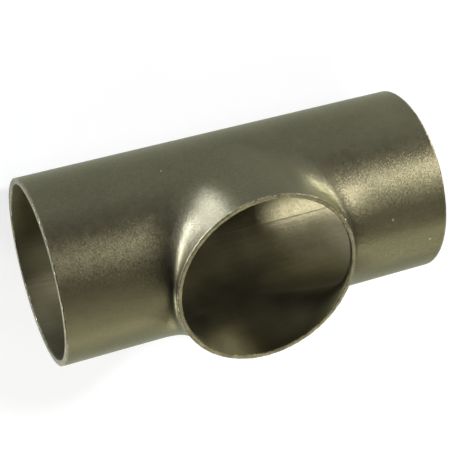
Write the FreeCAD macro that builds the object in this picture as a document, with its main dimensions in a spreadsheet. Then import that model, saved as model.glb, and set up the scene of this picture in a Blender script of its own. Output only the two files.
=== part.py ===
import FreeCAD, Part
import os

# Butt-weld pipe tee, drawn from one length of thin-walled stainless tube.
# The run lies along X and the short branch collar points straight up, along +Z, which is how a tee
# left to itself rolls to rest. The origin is the point where the two axes cross, and all sizes are
# in millimetres.

Vector = FreeCAD.Vector

# Driving dimensions, each written once: (name, value, what it sets)
SIZES = [
    ("run_diameter", 60.3, "outside diameter of the tube"),
    ("run_wall", 2.0, "wall of the tube"),
    ("run_length", 128.0, "from one cut end of the run to the other"),
    ("collar_height", 3.55, "how far the branch face stands above the outside of the run"),
    ("lip_shrink", 0.3, "how much smaller the outside radius is at the branch face"),
    ("lip_wall", 1.45, "wall at the branch face, thinned by the drawing"),
    ("lip_land", 0.6, "true cylinder outside the branch face"),
    ("bore_land", 3.0, "true cylinder inside the branch face"),
    ("crotch_reach", 10.0, "how far the crotch blend runs along the tube"),
    ("sleeve_length", 19.0, "plain bore at each end of the run, clear of the blend"),
    ("edge_break", 0.2, "deburring of the cut edges"),
    ("overshoot", 1.0, "how far the inside reaches past each cut face"),
]

doc = FreeCAD.newDocument("pipe_tee")
sheet = doc.addObject("Spreadsheet::Sheet", "Sizes")
for row, (alias, number, meaning) in enumerate(SIZES, start=1):
    sheet.set("A%d" % row, alias)
    sheet.set("B%d" % row, str(number))
    sheet.set("C%d" % row, meaning)
    sheet.setAlias("B%d" % row, alias)
doc.recompute()


def size(alias):
    return float(sheet.get(alias))


# Lengths that follow from the driving dimensions, as numbers for the blend surfaces
run_radius = size("run_diameter") / 2
bore_radius = run_radius - size("run_wall")
face_z = run_radius + size("collar_height")
lip_radius = run_radius - size("lip_shrink")
lip_bore_radius = lip_radius - size("lip_wall")
reach_x = run_radius + size("crotch_reach")

# The same lengths as expressions, for the straight stretches
RUN_RADIUS = "(Sizes.run_diameter / 2)"
BORE_RADIUS = "(Sizes.run_diameter / 2 - Sizes.run_wall)"
FACE_Z = "(Sizes.run_diameter / 2 + Sizes.collar_height)"
LIP_RADIUS = "(Sizes.run_diameter / 2 - Sizes.lip_shrink)"
LIP_BORE_RADIUS = "(Sizes.run_diameter / 2 - Sizes.lip_shrink - Sizes.lip_wall)"
REACH_X = "(Sizes.run_diameter / 2 + Sizes.crotch_reach)"
HALF_LENGTH = "(Sizes.run_length / 2)"
MIDDLE_HALF = "(Sizes.run_length / 2 - Sizes.sleeve_length)"

# The turn that lays a cylinder's own Z axis along the run, with its seam underneath; a cylinder
# along the branch needs none. The last turn points the edge of a wedge at the run's axis.
TURN_TO_RUN = FreeCAD.Rotation(Vector(0, 0, 1), Vector(1, 0, 0))
NO_TURN = FreeCAD.Rotation()
EDGE_DOWN = FreeCAD.Rotation(Vector(0, 1, 0), Vector(0, 0, -1))

# A half circle of radius 1 as one rational curve of degree 5, so that it has no knot where a line
# could kink: its control points as factors of the radius, each outward and then along Y
HALF_CIRCLE_FACTORS = ((0, -1), (2 / 3, -1), (3 / 2, -1 / 2), (3 / 2, 1 / 2), (2 / 3, 1), (0, 1))
HALF_CIRCLE_WEIGHTS = (1, 3 / 5, 2 / 5, 2 / 5, 3 / 5, 1)


def straight(name, turn, axis, start, length, radius):
    """A cylinder bound to the sheet, from start over its length along one axis."""
    cylinder = doc.addObject("Part::Cylinder", name)
    cylinder.Placement = FreeCAD.Placement(Vector(0, 0, 0), turn)
    cylinder.setExpression("Radius", radius)
    cylinder.setExpression("Height", length)
    cylinder.setExpression("Placement.Base." + axis, start)
    return cylinder


def blend_window(name, radius):
    """The part of the tube that the branch takes away: a wedge from the run's axis to the contact lines.

    Each slanting side cuts the tube in the half ellipse on which the crotch blend starts.
    """
    wedge = doc.addObject("Part::Wedge", name)
    wedge.Placement = FreeCAD.Placement(Vector(0, 0, 0), EDGE_DOWN)
    wide = "1.5 * " + REACH_X
    deep = "1.5 * " + radius
    for low, high, half in (("Xmin", "Xmax", wide), ("Zmin", "Zmax", deep), ("Z2min", "Z2max", deep)):
        wedge.setExpression(low, "-" + half)
        wedge.setExpression(high, half)
    wedge.X2min = 0
    wedge.X2max = 0
    wedge.setExpression("Ymin", "-" + deep)
    wedge.Ymax = 0
    return wedge


def crotch_blend(name, radius, lip_outline, lip_z):
    """The drawn blend between tube and branch, as one solid that fills the window up to the lip.

    On each side a blend leaves the tube at the contact line, whose widest point is at reach_x,
    rounds the sharp crotch where two equal tubes would meet, and ends upright at the branch lip.
    Every upright section of the blend along the run is one arc of a parabola.
    """
    circle = HALF_CIRCLE_FACTORS
    front_point = Vector(0, -radius, 0)
    back_point = Vector(0, radius, 0)
    faces = []
    for side in (-1, 1):
        contact = [Vector(side * reach_x * c, radius * s, radius * c) for c, s in circle]
        crotch = [Vector(side * radius * c, radius * s, radius * c) for c, s in circle]
        lip = [Vector(side * lip_outline * c, lip_outline * s, lip_z) for c, s in circle]
        rows = [contact, crotch, lip]
        weights = [list(HALF_CIRCLE_WEIGHTS)] * 3
        surface = Part.BSplineSurface()
        surface.buildFromPolesMultsKnots(
            rows, (3, 3), (6, 6), (0.0, 1.0), (0.0, 1.0), False, False, 2, 5, weights,
        )
        faces.append(surface.toShape())
        contact_line = Part.BSplineCurve()
        contact_line.buildFromPolesMultsKnots(
            contact, (6, 6), (0.0, 1.0), False, 5, HALF_CIRCLE_WEIGHTS,
        )
        border = [contact_line.toShape(), Part.makeLine(back_point, front_point)]
        faces.append(Part.Face(Part.Wire(border)))
    lip_circle = Part.makeCircle(lip_outline, Vector(0, 0, lip_z), Vector(0, 0, 1))
    faces.append(Part.Face(Part.Wire([lip_circle])))
    skin = Part.makeCompound(faces)
    skin.sewShape()
    solid = Part.makeSolid(skin)
    if solid.Volume < 0:
        solid.reverse()
    blend = doc.addObject("Part::Feature", name)
    blend.Shape = solid
    return blend


def tee_volume(name, tube, window, ends, blend, lip):
    """A solid tee: the tube with its window, its ends, the blend that fills the window, and the lip."""
    open_tube = doc.addObject("Part::Cut", name + "_open_tube")
    open_tube.Refine = False
    open_tube.Base = tube
    open_tube.Tool = window
    fusion = doc.addObject("Part::MultiFuse", name)
    fusion.Refine = False
    fusion.Shapes = [open_tube, blend, lip] + ends
    return fusion


# The outside, solid
outside = tee_volume(
    "outside",
    straight("outside_tube", TURN_TO_RUN, "x", "-" + HALF_LENGTH, "2 * " + HALF_LENGTH, RUN_RADIUS),
    blend_window("outside_window", RUN_RADIUS),
    [],
    crotch_blend("outside_blend", run_radius, lip_radius, face_z - size("lip_land")),
    straight("outside_lip", NO_TURN, "z", FACE_Z + " - Sizes.lip_land", "Sizes.lip_land", LIP_RADIUS),
)

# The inside, which the drawing keeps concentric with the outside and which runs past every cut face
SLEEVE = "Sizes.sleeve_length + Sizes.overshoot"
inside = tee_volume(
    "inside",
    straight("inside_tube", TURN_TO_RUN, "x", "-" + MIDDLE_HALF, "2 * " + MIDDLE_HALF, BORE_RADIUS),
    blend_window("inside_window", BORE_RADIUS),
    [
        straight("inside_left", TURN_TO_RUN, "x",
                 "-" + HALF_LENGTH + " - Sizes.overshoot", SLEEVE, BORE_RADIUS),
        straight("inside_right", TURN_TO_RUN, "x", MIDDLE_HALF, SLEEVE, BORE_RADIUS),
    ],
    crotch_blend("inside_blend", bore_radius, lip_bore_radius, face_z - size("bore_land")),
    straight("inside_lip", NO_TURN, "z",
             FACE_Z + " - Sizes.bore_land", "Sizes.bore_land + Sizes.overshoot", LIP_BORE_RADIUS),
)

hollow = doc.addObject("Part::Cut", "hollow")
hollow.Refine = False
hollow.Base = outside
hollow.Tool = inside
doc.recompute()


def cut_edges(shape):
    """The numbers of the round edges at the two run faces and the branch face."""
    tolerance = 1e-4
    numbers = []
    for number, edge in enumerate(shape.Edges, start=1):
        if edge.Degenerated or edge.Curve.TypeId != "Part::GeomCircle":
            continue
        centre = edge.Curve.Center
        at_run_face = abs(abs(centre.x) - size("run_length") / 2) < tolerance
        at_branch_face = abs(centre.z - face_z) < tolerance
        if at_run_face or at_branch_face:
            numbers.append(number)
    return numbers


tee_body = doc.addObject("Part::Chamfer", "tee_body")
tee_body.Label = "tee_body"
tee_body.Base = hollow
tee_body.Edges = [(number, size("edge_break"), size("edge_break")) for number in cut_edges(hollow.Shape)]
doc.recompute()

# Nothing is written unless every object of the document is sound
for item in doc.Objects:
    if "Invalid" in item.State or "Error" in item.State:
        raise RuntimeError(item.Name + " failed to build")
if tee_body.Shape.isNull() or not tee_body.Shape.isValid() or len(tee_body.Shape.Solids) != 1:
    raise RuntimeError("tee_body is not one valid solid")

os.makedirs("parts", exist_ok=True)
tee_body.Shape.exportStep("parts/tee_body.step")
print("tee_body: volume %.1f mm3, %d faces" % (tee_body.Shape.Volume, len(tee_body.Shape.Faces)))
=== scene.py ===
import math

import bmesh
import bpy
import numpy as np
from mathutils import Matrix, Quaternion, Vector


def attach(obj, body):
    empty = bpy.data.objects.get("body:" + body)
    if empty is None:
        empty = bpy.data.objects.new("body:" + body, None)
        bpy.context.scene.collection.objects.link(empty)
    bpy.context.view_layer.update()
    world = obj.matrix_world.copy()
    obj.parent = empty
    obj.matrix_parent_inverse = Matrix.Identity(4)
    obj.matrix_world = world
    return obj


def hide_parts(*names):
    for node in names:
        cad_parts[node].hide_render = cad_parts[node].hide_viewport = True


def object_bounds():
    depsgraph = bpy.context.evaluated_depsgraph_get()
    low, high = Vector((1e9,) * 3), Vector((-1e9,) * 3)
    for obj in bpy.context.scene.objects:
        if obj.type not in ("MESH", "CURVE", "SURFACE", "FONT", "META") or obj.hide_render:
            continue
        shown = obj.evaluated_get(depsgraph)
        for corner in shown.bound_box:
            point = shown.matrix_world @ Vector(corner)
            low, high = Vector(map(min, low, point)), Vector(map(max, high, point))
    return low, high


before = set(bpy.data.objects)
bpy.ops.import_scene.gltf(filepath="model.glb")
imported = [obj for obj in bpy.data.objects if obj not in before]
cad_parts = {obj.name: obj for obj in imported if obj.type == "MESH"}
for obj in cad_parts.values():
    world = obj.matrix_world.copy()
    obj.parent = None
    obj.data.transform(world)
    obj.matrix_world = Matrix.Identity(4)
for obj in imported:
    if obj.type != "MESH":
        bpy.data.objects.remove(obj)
cad_low, cad_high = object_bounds()

# Sizes of the tee in metres: its overall sizes from the frame, to the micrometre, and the walls,
# the shrinking of the lip and its land as the CAD part has them
MICROMETRE_DIGITS = 6
HALF_LENGTH = round(cad_high[0], MICROMETRE_DIGITS)
RUN_RADIUS = round(-cad_low[2], MICROMETRE_DIGITS)
FACE_Z = round(cad_high[2], MICROMETRE_DIGITS)
RUN_WALL = 0.002
LIP_SHRINK = 0.0003
LIP_WALL = 0.00145
LIP_LAND = 0.0006
BORE_RADIUS = RUN_RADIUS - RUN_WALL
LIP_RADIUS = RUN_RADIUS - LIP_SHRINK
LIP_BORE_RADIUS = LIP_RADIUS - LIP_WALL

# The crotch blend, which is longer than in the CAD part: how far it runs along the tube, the
# straight bore above it, and how closely it keeps to its corner outside and inside, where 1 is a
# parabola
CROTCH_REACH = 0.01835
REACH_X = RUN_RADIUS + CROTCH_REACH
BORE_LAND = 0.0005
OUTER_WEIGHT = 1.6
INNER_WEIGHT = 1.0

# The deburred edges: how wide the break is on average, how much of that it wanders, the waves
# round the circle that it wanders in, the height at which they level off, and their seeds
EDGE_BREAK = 0.00016
EDGE_WANDER = 0.4
EDGE_WAVES = (2, 3, 5, 9, 14, 23, 37, 52, 71, 86)
EDGE_LEVEL = 2.2
RUN_EDGE_SEED = 11
BRANCH_EDGE_SEED = 21

# The narrow land at each end of the tube, which is drawn with the cut face
RUN_LAND = 0.0006
LAND_X = HALF_LENGTH - RUN_LAND

# The weld seam of the tube, as a fine groove in the bore: its place round the bore, measured from
# the branch side towards +Y, and its size
SEAM_ANGLE = math.radians(138)
SEAM_DEPTH = 0.00004
SEAM_HALF_WIDTH = 0.00034

# The columns of points that draw the seam and the room that the others leave it, in half widths
# from its middle, and the steepness of its sides, where more than 1 leaves a flat bottom
SEAM_COLUMNS = (-2.0, -1.0, -0.45, 0.0, 0.45, 1.0, 2.0)
SEAM_ROOM = 3.0
SEAM_STEEPNESS = 1.3

# Steps of the grids: round a half circle, across the blend, along the tube, and across a cut face
HALF_STEPS = 180
BLEND_STEPS = 36
TUBE_STEPS = 24
FACE_STEPS = 4

# Points closer together than this are one, and edges shorter than this are taken out
MERGE_DISTANCE = 2e-7
SHORTEST_EDGE = 1e-8

# Finishes, in the order of the materials on the mesh; the broken edges' finish is rubbed metal with
# painted glints
OUTSIDE, CUT_FACE, INSIDE, WORN_AND_GLINT = range(4)


def upper_angles():
    """Angles round the run on the branch side, from -Y over +Z to +Y."""
    return np.linspace(-math.pi / 2, math.pi / 2, HALF_STEPS + 1)


def lower_angles():
    """Angles round the run on the far side, from +Y over -Z to -Y, with the seam's columns."""
    even = upper_angles() + math.pi
    seam = SEAM_ANGLE + np.array(SEAM_COLUMNS) * SEAM_HALF_WIDTH / BORE_RADIUS
    clear = even[np.abs(even - SEAM_ANGLE) > SEAM_ROOM * SEAM_HALF_WIDTH / BORE_RADIUS]
    return np.sort(np.concatenate([clear, seam]))


def bore_radius(angles):
    """Radius of the bore round the run, which only the seam's groove changes."""
    across = np.abs(angles - SEAM_ANGLE) * BORE_RADIUS / SEAM_HALF_WIDTH
    return BORE_RADIUS + SEAM_DEPTH * np.clip(SEAM_STEEPNESS * (1 - across), 0, 1)


def wander(angles, seed):
    """A ragged line round a circle, about -1 to 1, always the same for the same seed."""
    rng = np.random.default_rng(seed)
    line = np.zeros_like(angles)
    for waves in EDGE_WAVES:
        line += rng.normal() * np.sin(waves * angles + rng.uniform(0, 2 * math.pi))
    return np.tanh(line / EDGE_LEVEL)


def edge_break(angles, seed):
    """Width of the break along a cut edge."""
    return EDGE_BREAK * (1 + EDGE_WANDER * wander(angles, seed))


def blend_grid(side, radius, lip_radius, lip_z, weight):
    """The crotch blend: one conic in each upright section, from the contact line to the lip."""
    t = upper_angles()
    c, s = np.cos(t), np.sin(t)
    contact = np.stack([side * REACH_X * c, radius * s, radius * c], -1)
    crotch = np.stack([side * radius * c, radius * s, radius * c], -1)
    lip = np.stack([side * lip_radius * c, lip_radius * s, np.full_like(c, lip_z)], -1)
    u = np.linspace(0, 1, BLEND_STEPS + 1)[:, None, None]
    parts = ((1 - u) ** 2, 2 * u * (1 - u) * weight, u ** 2)
    return (parts[0] * contact + parts[1] * crotch + parts[2] * lip) / sum(parts)


def tube_grid(side, angles, radius, start_x):
    """The tube from start_x to the land at its cut end, over the given angles."""
    v = np.linspace(0, 1, TUBE_STEPS + 1)[:, None]
    x = side * (start_x + v * (LAND_X - start_x))
    y = np.broadcast_to(radius * np.sin(angles), x.shape)
    z = np.broadcast_to(radius * np.cos(angles), x.shape)
    return np.stack([x, y, z], -1)


def ring_grid(profile, angles, place):
    """A grid of full circles, one for each (radius, height) of a profile."""
    even = np.ones_like(angles)
    rows = [place(r * np.sin(angles), r * np.cos(angles), h * even) for r, h in profile]
    return np.array(rows)


def on_branch(y, x, z):
    """Places circles round the branch."""
    return np.stack([x, y, z], -1)


def on_run_end(side):
    """Places circles round the run, on the end of the given side."""

    def place(y, z, x):
        return np.stack([side * x, y, z], -1)

    return place


def cut_profile(angles, outer, inner, face, outer_start, inner_start, seed):
    """Profile over a cut end: outer land, broken edge, flat face, broken edge, inner land."""
    outer_break = edge_break(angles, seed)
    inner_break = edge_break(angles, seed + 1)
    low, high = outer - outer_break, inner + inner_break
    steps = [(low + (high - low) * k / FACE_STEPS, face) for k in range(FACE_STEPS + 1)]
    return (
        [(outer, outer_start), (outer, face - outer_break)]
        + steps
        + [(inner, face - inner_break), (inner, inner_start)]
    )


# The rows of faces in that profile that are the broken edges
BREAK_ROWS = (1, 2 + FACE_STEPS)


class Skin:
    """Collects grids of points into one mesh, each face with the number of its finish."""

    def __init__(self):
        self.points = []
        self.faces = []
        self.finish = []

    def add(self, grid, finish, worn_and_glint_rows=()):
        rows, columns = grid.shape[:2]
        first = sum(len(p) for p in self.points)
        self.points.append(grid.reshape(-1, 3))
        index = np.arange(rows * columns).reshape(rows, columns) + first
        quads = np.stack([index[:-1, :-1], index[1:, :-1], index[1:, 1:], index[:-1, 1:]], -1)
        self.faces.append(quads.reshape(-1, 4))
        # Rows of broken edge take the rubbed finish, whose lighter tone paints glints of light
        for row in range(rows - 1):
            row_finish = WORN_AND_GLINT if row in worn_and_glint_rows else finish
            self.finish += [row_finish] * (columns - 1)


def tee_skin():
    """The whole tee: on each side blend and tube, outside and inside, and the three cut ends."""
    skin = Skin()
    upper, lower = upper_angles(), lower_angles()
    run_angles = np.concatenate([upper, lower[1:]])
    contact_x = REACH_X * np.cos(upper)
    middle_x = np.zeros_like(lower)
    outer_top, inner_top = FACE_Z - LIP_LAND, FACE_Z - BORE_LAND
    for side in (-1, 1):
        skin.add(blend_grid(side, RUN_RADIUS, LIP_RADIUS, outer_top, OUTER_WEIGHT), OUTSIDE)
        skin.add(tube_grid(side, upper, RUN_RADIUS, contact_x), OUTSIDE)
        skin.add(tube_grid(side, lower, RUN_RADIUS, middle_x), OUTSIDE)
        skin.add(blend_grid(side, BORE_RADIUS, LIP_BORE_RADIUS, inner_top, INNER_WEIGHT), INSIDE)
        skin.add(tube_grid(side, upper, BORE_RADIUS, contact_x), INSIDE)
        skin.add(tube_grid(side, lower, bore_radius(lower), middle_x), INSIDE)
        run_end = cut_profile(
            run_angles, RUN_RADIUS, bore_radius(run_angles), HALF_LENGTH, LAND_X, LAND_X,
            RUN_EDGE_SEED + side,
        )
        skin.add(ring_grid(run_end, run_angles, on_run_end(side)), CUT_FACE, BREAK_ROWS)
    branch_angles = np.linspace(0, 2 * math.pi, 2 * HALF_STEPS + 1)
    lip = cut_profile(
        branch_angles, LIP_RADIUS, LIP_BORE_RADIUS, FACE_Z, outer_top, inner_top,
        BRANCH_EDGE_SEED,
    )
    skin.add(ring_grid(lip, branch_angles, on_branch), CUT_FACE, BREAK_ROWS)
    return skin


def closed_mesh(name, skin):
    """The skin as one closed mesh, its grids joined along their borders."""
    mesh = bpy.data.meshes.new(name)
    points = np.concatenate(skin.points).tolist()
    mesh.from_pydata(points, [], np.concatenate(skin.faces).tolist())
    mesh.polygons.foreach_set("material_index", skin.finish)
    mesh.polygons.foreach_set("use_smooth", [True] * len(mesh.polygons))
    bm = bmesh.new()
    bm.from_mesh(mesh)
    bmesh.ops.remove_doubles(bm, verts=bm.verts, dist=MERGE_DISTANCE)
    bmesh.ops.dissolve_degenerate(bm, edges=bm.edges, dist=SHORTEST_EDGE)
    bmesh.ops.recalc_face_normals(bm, faces=bm.faces)
    bm.to_mesh(mesh)
    bm.free()
    return mesh


def show(name, data):
    """A new object in the scene."""
    thing = bpy.data.objects.new(name, data)
    bpy.context.scene.collection.objects.link(thing)
    return thing


mesh = closed_mesh("tee", tee_skin())
tee = show("tee", mesh)


# The sockets of a Mix node that take and give colours, and the average of a random colour
MIX_FIRST, MIX_SECOND, MIX_RESULT = 6, 7, 2
MID_COLOUR = (0.5, 0.5, 0.5)


class Nodes:
    """A short way to build a node tree: add(kind, {input: number or socket}, setting=value)."""

    def __init__(self, owner):
        owner.use_nodes = True
        self.tree = owner.node_tree

    def add(self, kind, inputs=None, **settings):
        node = self.tree.nodes.new(kind)
        for name, value in settings.items():
            setattr(node, name, value)
        for name, value in (inputs or {}).items():
            self.put(node.inputs[name], value)
        return node

    def put(self, socket, value):
        if isinstance(value, bpy.types.NodeSocket):
            self.tree.links.new(value, socket)
        else:
            socket.default_value = value

    def math(self, operation, first, second=0.0):
        inputs = {0: first, 1: second}
        return self.add("ShaderNodeMath", inputs, operation=operation).outputs[0]

    def vector(self, operation, inputs):
        return self.add("ShaderNodeVectorMath", inputs, operation=operation).outputs

    def map(self, value, low, high, to_low, to_high):
        inputs = {
            "Value": value,
            "From Min": low,
            "From Max": high,
            "To Min": to_low,
            "To Max": to_high,
        }
        return self.add("ShaderNodeMapRange", inputs).outputs["Result"]

    def mix(self, factor, first, second):
        node = self.add("ShaderNodeMix", data_type="RGBA")
        self.put(node.inputs["Factor"], factor)
        self.put(node.inputs[MIX_FIRST], first)
        self.put(node.inputs[MIX_SECOND], second)
        return node.outputs[MIX_RESULT]


# The warm tint of the steel
STEEL_TINT = (1.0, 0.965, 0.64)

# Ranges of a pattern: the one that a noise mostly keeps to, a narrower one for more contrast, a
# narrow one that makes sharp patches, and the whole range of a grain's colour
NOISE = (0.3, 0.7)
STRONG_NOISE = (0.35, 0.65)
SHARP_NOISE = (0.42, 0.60)
WHOLE = (0.0, 1.0)


def tone(strength):
    """The warm grey of the steel at a given reflectance."""
    return tuple(strength * part for part in STEEL_TINT) + (1,)


class Steel(Nodes):
    """A metal material, with the patterns that its colour, roughness and normal are made of."""

    def __init__(self, name):
        self.material = bpy.data.materials.new(name)
        super().__init__(self.material)
        self.shader = self.tree.nodes["Principled BSDF"]
        self.shader.inputs["Metallic"].default_value = 1.0
        self.place = self.add("ShaderNodeTexCoord").outputs["Object"]

    def noise(self, scale, detail=2.0, stretch=None):
        """A soft random pattern, stretched along the axes if need be."""
        place = self.place
        if stretch is not None:
            mapping = self.add("ShaderNodeMapping", {"Vector": place, "Scale": stretch})
            place = mapping.outputs["Vector"]
        inputs = {"Vector": place, "Scale": scale, "Detail": detail}
        return self.add("ShaderNodeTexNoise", inputs).outputs["Fac"]

    def grain(self, scale):
        """A colour that differs at random from one grain to the next."""
        inputs = {"Vector": self.place, "Scale": scale}
        return self.add("ShaderNodeTexVoronoi", inputs).outputs["Color"]

    def leaning(self, colour, tilt):
        """The surface's normal, leaning a little to a side that the given colour picks."""
        middle = self.vector("SUBTRACT", {0: colour, 1: MID_COLOUR})[0]
        lean = self.vector("SCALE", {0: middle, "Scale": tilt})[0]
        facing = self.add("ShaderNodeNewGeometry").outputs["Normal"]
        both = self.vector("ADD", {0: facing, 1: lean})[0]
        return self.vector("NORMALIZE", {0: both})[0]

    def bump(self, height, depth, normal):
        """A normal with bumps of the given depth in metres on top of another normal."""
        inputs = {"Strength": 1.0, "Distance": depth, "Height": height, "Normal": normal}
        return self.add("ShaderNodeBump", inputs).outputs["Normal"]

    def share(self, pattern, most, span=NOISE):
        """A part of the lightness: from nothing up to most, over the given range of a pattern."""
        return self.map(pattern, *span, 0.0, most)

    def tones(self, lightness, strength, darkest, lightest):
        """The steel's colour, from the darkest to the lightest share of a reflectance."""
        return self.mix(lightness, tone(darkest * strength), tone(lightest * strength))

    def surface(self, colour, roughness, normal):
        """The finished material."""
        self.put(self.shader.inputs["Base Color"], colour)
        self.put(self.shader.inputs["Roughness"], roughness)
        self.put(self.shader.inputs["Normal"], normal)
        return self.material


# How much each finish reflects
BLASTED_TONE = 0.104
CUT_TONE = 0.15
# The broken edges: rubbed metal, its tone raised further as painted glints of light
WORN_AND_GLINT_TONE = 0.22
# The bore: the steel's colour raised above the outside's, as painted light bounced round inside
INSIDE_TONE_AND_BOUNCE = 0.20

# The colour that the blasted surface takes where it is seen at a grazing angle
GRAZING = (0.92, 0.95, 0.80, 1)

# Small bright marks on the outside, from handling: place and radius of each in metres, the part
# of the radius that is fully bright, and about how many times lighter they are than the rest
MARKS = [
    ((0.0231, -0.0295, 0.0060), 0.00034),
    ((-0.0448, -0.0064, 0.0295), 0.00055),
    ((-0.0585, 0.0047, 0.0298), 0.00048),
]
MARK_CORE = 0.5
MARK_GAIN = 3.0

# How far the grains of each finish lean, and how deep the bumps are in metres
BLASTED_LEAN = 0.125
CUT_LEAN = 0.25
WORN_AND_GLINT_LEAN = 0.7
INSIDE_LEAN = 0.05
BLASTED_DEPTH = 0.00003
INSIDE_DEPTH = 0.000006

# The bore gets rougher between these two distances from the middle, by this much
BLAST_START, BLAST_END = 0.036, 0.056
BLAST_GAIN = 0.09

# How dense the drawn lines of the bore are along each axis, which stretches them along the tube
ALONG_TUBE = (0.04, 1.0, 1.0)


def marks(steel):
    """1 in each of the small marks and 0 elsewhere, with a soft edge."""
    total = None
    for spot, radius in MARKS:
        away = steel.vector("DISTANCE", {0: steel.place, 1: spot})["Value"]
        one = steel.map(away, MARK_CORE * radius, radius, 1.0, 0.0)
        total = one if total is None else steel.math("MAXIMUM", total, one)
    return total


def blasted_steel():
    """The outside: blasted, a dense sparkling grain of small facets over a faint mottle."""
    steel = Steel("satin_stainless")
    cloud = steel.noise(scale=75, detail=3.0)
    mottle = steel.noise(scale=420)
    fine = steel.noise(scale=1900)
    grain = steel.grain(scale=3600)
    speckle = steel.add("ShaderNodeSeparateColor", {"Color": grain}).outputs[0]
    lightness = steel.math("ADD", steel.share(cloud, 0.20), steel.share(mottle, 0.15))
    lightness = steel.math("ADD", lightness, steel.share(speckle, 0.45, WHOLE))
    colour = steel.tones(lightness, BLASTED_TONE, darkest=0.72, lightest=1.28)
    colour = steel.mix(marks(steel), colour, tone(MARK_GAIN * BLASTED_TONE))
    roughness = steel.map(mottle, *NOISE, to_low=0.38, to_high=0.42)
    normal = steel.bump(fine, BLASTED_DEPTH, steel.leaning(grain, BLASTED_LEAN))
    steel.shader.inputs["Specular Tint"].default_value = GRAZING
    return steel.surface(colour, roughness, normal)


def cut_steel():
    """The cut faces, with fine marks of the saw."""
    steel = Steel("cut_stainless")
    lines = steel.noise(scale=1500, detail=3.0)
    patch = steel.noise(scale=260)
    lines_share = steel.share(lines, 0.6, STRONG_NOISE)
    lightness = steel.math("ADD", lines_share, steel.share(patch, 0.4, STRONG_NOISE))
    colour = steel.tones(lightness, CUT_TONE, darkest=0.6, lightest=1.5)
    roughness = steel.map(lines, *NOISE, to_low=0.36, to_high=0.50)
    return steel.surface(colour, roughness, steel.leaning(steel.grain(scale=3000), CUT_LEAN))


def drawn_steel():
    """The inside: smooth as drawn, with faint lines along it, and rougher towards its ends."""
    steel = Steel("drawn_stainless")
    lines = steel.noise(scale=1100, stretch=ALONG_TUBE)
    cloud = steel.noise(scale=90, detail=3.0)
    lightness = steel.math("ADD", steel.share(lines, 0.4), steel.share(cloud, 0.6))
    # Lighter than the outside: painted light bounced round inside the tube
    colour = steel.tones(lightness, INSIDE_TONE_AND_BOUNCE, darkest=0.85, lightest=1.15)
    run_x = steel.add("ShaderNodeSeparateXYZ", {"Vector": steel.place}).outputs["X"]
    blast = steel.map(steel.math("ABSOLUTE", run_x), BLAST_START, BLAST_END, 0.0, BLAST_GAIN)
    smooth = steel.map(cloud, *NOISE, to_low=0.34, to_high=0.39)
    roughness = steel.math("ADD", smooth, blast)
    lean = steel.leaning(steel.grain(scale=2700), INSIDE_LEAN)
    return steel.surface(colour, roughness, steel.bump(lines, INSIDE_DEPTH, lean))


def worn_and_glint_steel():
    """The broken edges of the cut faces: rubbed bright in a ragged line, with painted glints."""
    steel = Steel("worn_and_glint_stainless")
    nicks = steel.noise(scale=900, detail=3.0)
    rubbed = steel.share(nicks, 1.0, SHARP_NOISE)
    colour = steel.tones(rubbed, WORN_AND_GLINT_TONE, darkest=0.35, lightest=1.0)
    roughness = steel.map(nicks, *NOISE, to_low=0.40, to_high=0.26)
    return steel.surface(colour, roughness, steel.leaning(steel.grain(scale=2200), WORN_AND_GLINT_LEAN))


for material in (blasted_steel(), cut_steel(), drawn_steel(), worn_and_glint_steel()):
    mesh.materials.append(material)

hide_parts("tee_body")
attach(tee, "root")

# Floor: white, lit by the lamps, and topped up to full white for the camera and for reflections
FLOOR_Z = -RUN_RADIUS
FLOOR_REACH = 20.0
FLOOR_COLOUR = 0.36
FLOOR_TINT = (0.92, 1.0, 1.09)
FLOOR_ROUGHNESS = 0.9
FLOOR_TOP_UP = 0.72
WHITE = (1, 1, 1, 1)

corners = [(-1, -1), (1, -1), (1, 1), (-1, 1)]
floor_points = [(x * FLOOR_REACH, y * FLOOR_REACH, FLOOR_Z) for x, y in corners]
floor_mesh = bpy.data.meshes.new("floor")
floor_mesh.from_pydata(floor_points, [], [(0, 1, 2, 3)])
floor = show("floor", floor_mesh)
paper = bpy.data.materials.new("paper")
nodes = Nodes(paper)
path = nodes.add("ShaderNodeLightPath").outputs
seen = nodes.math("MAXIMUM", path["Is Camera Ray"], path["Is Glossy Ray"])
seen = nodes.math("MAXIMUM", seen, path["Is Transmission Ray"])
shader = nodes.tree.nodes["Principled BSDF"]
shader.inputs["Base Color"].default_value = tuple(FLOOR_COLOUR * part for part in FLOOR_TINT) + (1,)
shader.inputs["Roughness"].default_value = FLOOR_ROUGHNESS
shader.inputs["Specular IOR Level"].default_value = 0.0
shader.inputs["Emission Color"].default_value = WHITE
nodes.put(shader.inputs["Emission Strength"], nodes.math("MULTIPLY", seen, FLOOR_TOP_UP))
floor_mesh.materials.append(paper)

# World: white up to a little above the horizon, where the floor ends, then fading to a dark sky,
# so that overhead only the lamps shine
SKY_LOW, SKY_HIGH = 0.04, 0.16
SKY_WHITE, SKY_DARK = 1.0, 0.0

world = bpy.data.worlds.new("world")
bpy.context.scene.world = world
nodes = Nodes(world)
direction = nodes.add("ShaderNodeTexCoord").outputs["Generated"]
height = nodes.add("ShaderNodeSeparateXYZ", {"Vector": direction}).outputs["Z"]
sky = nodes.tree.nodes["Background"]
nodes.put(sky.inputs["Strength"], nodes.map(height, SKY_LOW, SKY_HIGH, SKY_WHITE, SKY_DARK))
sky.inputs["Color"].default_value = WHITE

# Colours of the light: the key, the fills around it, the panels, and the cool light on the crotch
KEY_COLOUR = (1.0, 0.935, 0.87)
FILL_COLOUR = (1.0, 0.945, 0.76)
PANEL_COLOUR = (1.0, 0.94, 0.86)
COOL_COLOUR = (0.86, 0.87, 1.0)


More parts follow.
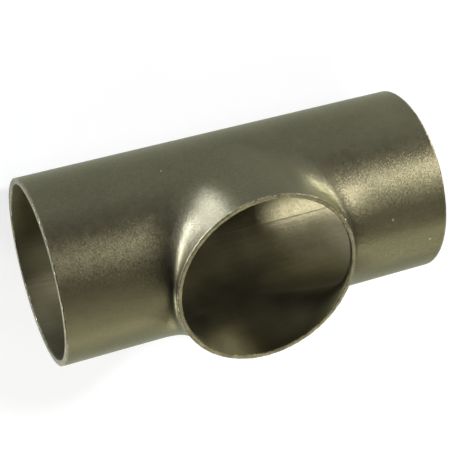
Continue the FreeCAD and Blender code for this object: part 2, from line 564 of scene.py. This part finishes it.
def towards(azimuth, elevation):
    """The direction at an azimuth, counted from +X towards +Y, and an elevation, in degrees."""
    azimuth, elevation = math.radians(azimuth), math.radians(elevation)
    flat = math.cos(elevation)
    return Vector((flat * math.cos(azimuth), flat * math.sin(azimuth), math.sin(elevation)))


def hang(light, place, back, colour):
    """Puts a light at a place, with its back towards the given direction."""
    light.color = colour
    holder = show(light.name, light)
    holder.location = place
    holder.rotation_mode = "QUATERNION"
    holder.rotation_quaternion = back.to_track_quat("Z", "Y")
    return holder


# Lamps, far off: azimuth and elevation of each, its strength, and how many degrees wide it looks
SHARP, SOFT = 7, 17
LAMPS = [
    ("key", 223, 38, 2.42, SHARP, KEY_COLOUR),
    ("crotch", 307, 25, 0.26, SOFT, KEY_COLOUR),
    ("back_low", 84, 6, 0.55, SOFT, FILL_COLOUR),
    ("back_mid", 108, 22, 0.50, SOFT, FILL_COLOUR),
    ("back_high", 92, 53, 0.37, SOFT, FILL_COLOUR),
    ("corner_low", 140, 25, 0.32, SOFT, FILL_COLOUR),
    ("corner_high", 126, 38, 0.39, SOFT, FILL_COLOUR),
    ("front", 252, 48, 0.15, SOFT, FILL_COLOUR),
    ("top_left", 206, 53, 0.42, SOFT, FILL_COLOUR),
    ("top", 141, 69, 0.20, SOFT, FILL_COLOUR),
]
for name, azimuth, elevation, strength, wide, colour in LAMPS:
    lamp = bpy.data.lights.new("lamp_" + name, "SUN")
    lamp.energy = strength
    lamp.angle = math.radians(wide)
    away = towards(azimuth, elevation)
    hang(lamp, away, away, colour)


def panel(name, place, aim, wide, spread, radiance, colour):
    """A square panel that shines at a point and that the camera doesn't see."""
    light = bpy.data.lights.new("panel_" + name, "AREA")
    light.shape = "SQUARE"
    light.size = wide
    light.spread = math.radians(spread)
    light.energy = radiance * math.pi * wide ** 2
    hang(light, place, place - aim, colour).visible_camera = False


# Panels low down round the tee that shine at its middle, in place of the light that reaches it
# from below in the photograph: azimuth, distance, width and radiance
LOW_HEIGHT = -0.02
LOW_SPREAD = 90
MIDDLE = Vector((0.01, 0.0, 0.01))
LOW = [
    ("crotch", -27, 0.45, 0.054, 72.0, COOL_COLOUR),
    ("right", -9, 0.45, 0.054, 31.0, PANEL_COLOUR),
    ("right_near", 18, 0.14, 0.017, 4.4, PANEL_COLOUR),
    ("right_back", 36, 0.30, 0.036, 27.0, PANEL_COLOUR),
    ("left", 189, 0.45, 0.054, 11.0, PANEL_COLOUR),
    ("left_front", 207, 0.45, 0.054, 32.0, PANEL_COLOUR),
]
for name, azimuth, distance, wide, radiance, colour in LOW:
    place = distance * towards(azimuth, 0)
    place.z = LOW_HEIGHT
    panel(name, place, MIDDLE, wide, LOW_SPREAD, radiance, colour)

# Narrow panels close to the crotch, each aimed at one part of it: place, aim, width and radiance
CLOSE_SPREAD = 18
CLOSE = [
    ("lobe", (0.079, -0.0695, -0.0055), (0.0225, -0.0205, 0.027), 0.0096, 2.75, COOL_COLOUR),
    ("under", (0.054, -0.071, -0.027), (0.0175, -0.0245, 0.027), 0.016, 0.60, COOL_COLOUR),
    ("side", (0.027, -0.055, -0.0055), (0.014, -0.0265, 0.026), 0.0096, 0.55, COOL_COLOUR),
    ("far", (-0.0745, -0.038, -0.0065), (-0.0215, -0.0225, 0.024), 0.0096, 0.68, PANEL_COLOUR),
]
for name, place, aim, wide, radiance, colour in CLOSE:
    panel("crotch_" + name, Vector(place), Vector(aim), wide, CLOSE_SPREAD, radiance, colour)

# Camera: the view of the photograph, found by fitting the outlines of the three openings
CAMERA_PLACE = Vector((0.136023, -0.250959, 0.349278))
CAMERA_AZIMUTH = math.radians(28.3454)
CAMERA_ELEVATION = math.radians(50.5925)
CAMERA_ROLL = math.radians(142.8355)
CAMERA_LENS = 109.972
CAMERA_SENSOR = 36
CAMERA_NEAR, CAMERA_FAR = 0.01, 100

camera_data = bpy.data.cameras.new("camera")
camera_data.lens = CAMERA_LENS
camera_data.sensor_width = CAMERA_SENSOR
camera_data.clip_start = CAMERA_NEAR
camera_data.clip_end = CAMERA_FAR
camera = show("camera", camera_data)
back = Vector((
    math.sin(CAMERA_AZIMUTH) * math.cos(CAMERA_ELEVATION),
    -math.cos(CAMERA_AZIMUTH) * math.cos(CAMERA_ELEVATION),
    math.sin(CAMERA_ELEVATION),
))
roll = Quaternion((0, 0, 1), CAMERA_ROLL)
camera.location = CAMERA_PLACE
camera.rotation_mode = "QUATERNION"
camera.rotation_quaternion = (-back).to_track_quat("-Z", "Y") @ roll
bpy.context.scene.camera = camera
bpy.context.scene.view_settings.view_transform = "Standard"
